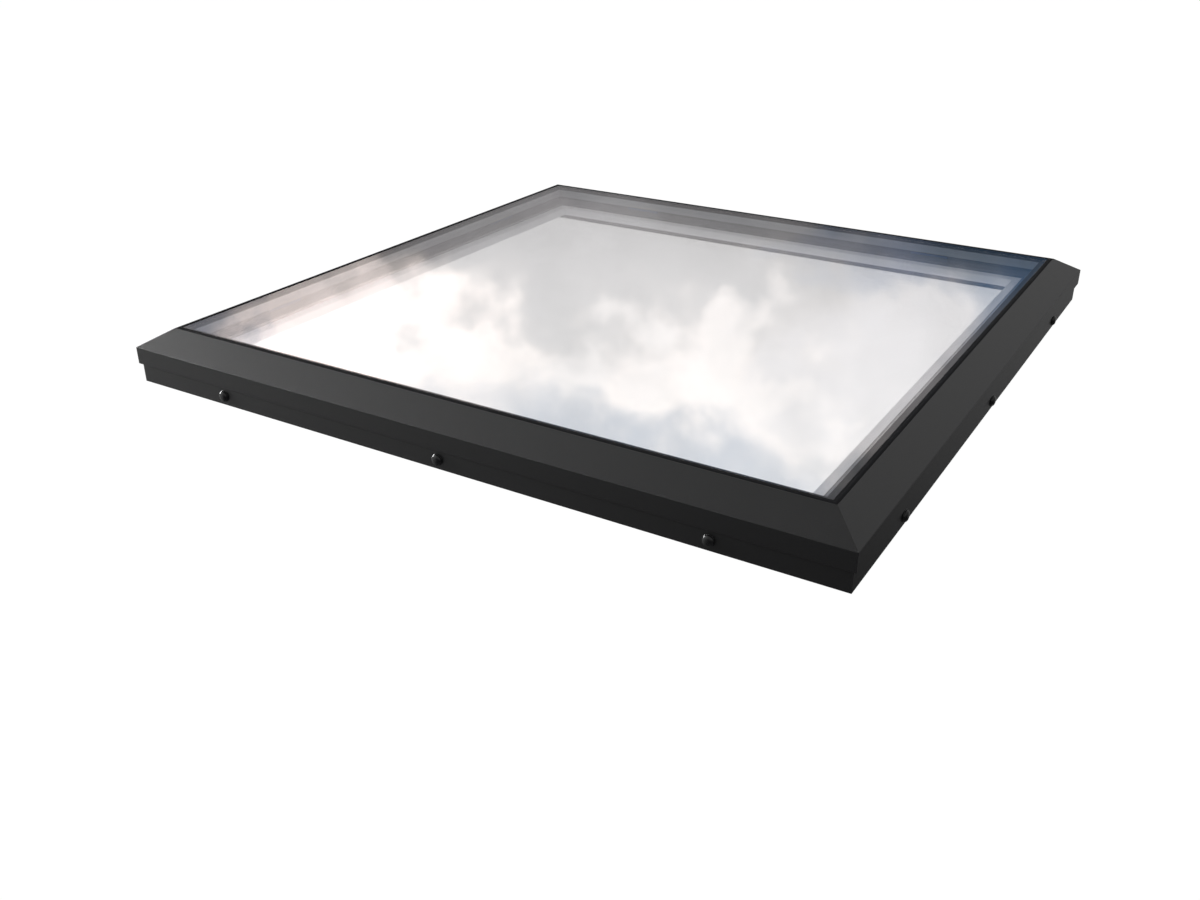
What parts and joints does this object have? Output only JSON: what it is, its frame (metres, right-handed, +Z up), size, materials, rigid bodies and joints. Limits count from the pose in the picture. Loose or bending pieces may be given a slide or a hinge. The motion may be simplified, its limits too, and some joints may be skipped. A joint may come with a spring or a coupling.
{
  "type": "roof skylight",
  "caption": "Fixed flat-glass roof skylight: near-black metal frame with a sloping cap, sealed double-glazed pane and light grey inner liner, made to drop over a kerb.",
  "frame": {"origin": "middle of the plan, on the plane of the skirt's lower edge", "axes": "+X to the right and +Y to the back along the sides of the square, +Z up through the glass"},
  "size_m": [1.0028, 1.0028, 0.0718],
  "materials": {
    "powder_coated_aluminium": "near-black satin powder coat with a very fine grain",
    "mill_aluminium": "plain sawn aluminium extrusion",
    "grey_pvc": "light grey extruded PVC-U, satin",
    "float_glass": "clear float glass, faintly blue-green through its edges",
    "dark_anodised_aluminium": "dark anodised aluminium strip",
    "black_nylon": "black moulded nylon, dull",
    "butyl": "black butyl, pressed flat",
    "silicone": "black silicone, cast",
    "epdm": "black extruded EPDM rubber, dull",
    "blue_plastic": "blue moulded glazing packer",
    "stainless_steel": "plain stainless steel screw",
    "gloss_black_plastic": "smooth glossy black moulded plastic"
  },
  "bodies": {
    "root": {"frame_front": "powder_coated_aluminium", "frame_right": "powder_coated_aluminium", "frame_back": "powder_coated_aluminium", "frame_left": "powder_coated_aluminium", "corner_cleat_front_left": "mill_aluminium", "corner_cleat_front_right": "mill_aluminium", "corner_cleat_back_right": "mill_aluminium", "corner_cleat_back_left": "mill_aluminium", "liner_front": "grey_pvc", "liner_right": "grey_pvc", "liner_back": "grey_pvc", "liner_left": "grey_pvc", "outer_pane": "float_glass", "inner_pane": "float_glass", "spacer_front": "dark_anodised_aluminium", "spacer_right": "dark_anodised_aluminium", "spacer_back": "dark_anodised_aluminium", "spacer_left": "dark_anodised_aluminium", "spacer_key_front_left": "black_nylon", "spacer_key_front_right": "black_nylon", "spacer_key_back_right": "black_nylon", "spacer_key_back_left": "black_nylon", "butyl_upper": "butyl", "butyl_lower": "butyl", "edge_seal": "silicone", "weather_gasket_front": "epdm", "weather_gasket_right": "epdm", "weather_gasket_back": "epdm", "weather_gasket_left": "epdm", "bed_gasket_front": "epdm", "bed_gasket_right": "epdm", "bed_gasket_back": "epdm", "bed_gasket_left": "epdm", "edge_packers": "blue_plastic", "kerb_seal_front": "epdm", "kerb_seal_right": "epdm", "kerb_seal_back": "epdm", "kerb_seal_left": "epdm", "kerb_screws_front": "stainless_steel", "kerb_screws_right": "stainless_steel", "kerb_screws_back": "stainless_steel", "kerb_screws_left": "stainless_steel", "cup_washers_front": "black_nylon", "cup_washers_right": "black_nylon", "cup_washers_back": "black_nylon", "cup_washers_left": "black_nylon", "cover_caps_front": "gloss_black_plastic", "cover_caps_right": "gloss_black_plastic", "cover_caps_back": "gloss_black_plastic", "cover_caps_left": "gloss_black_plastic", "liner_screws_front": "stainless_steel", "liner_screws_right": "stainless_steel", "liner_screws_back": "stainless_steel", "liner_screws_left": "stainless_steel"}
  },
  "joints": []
}
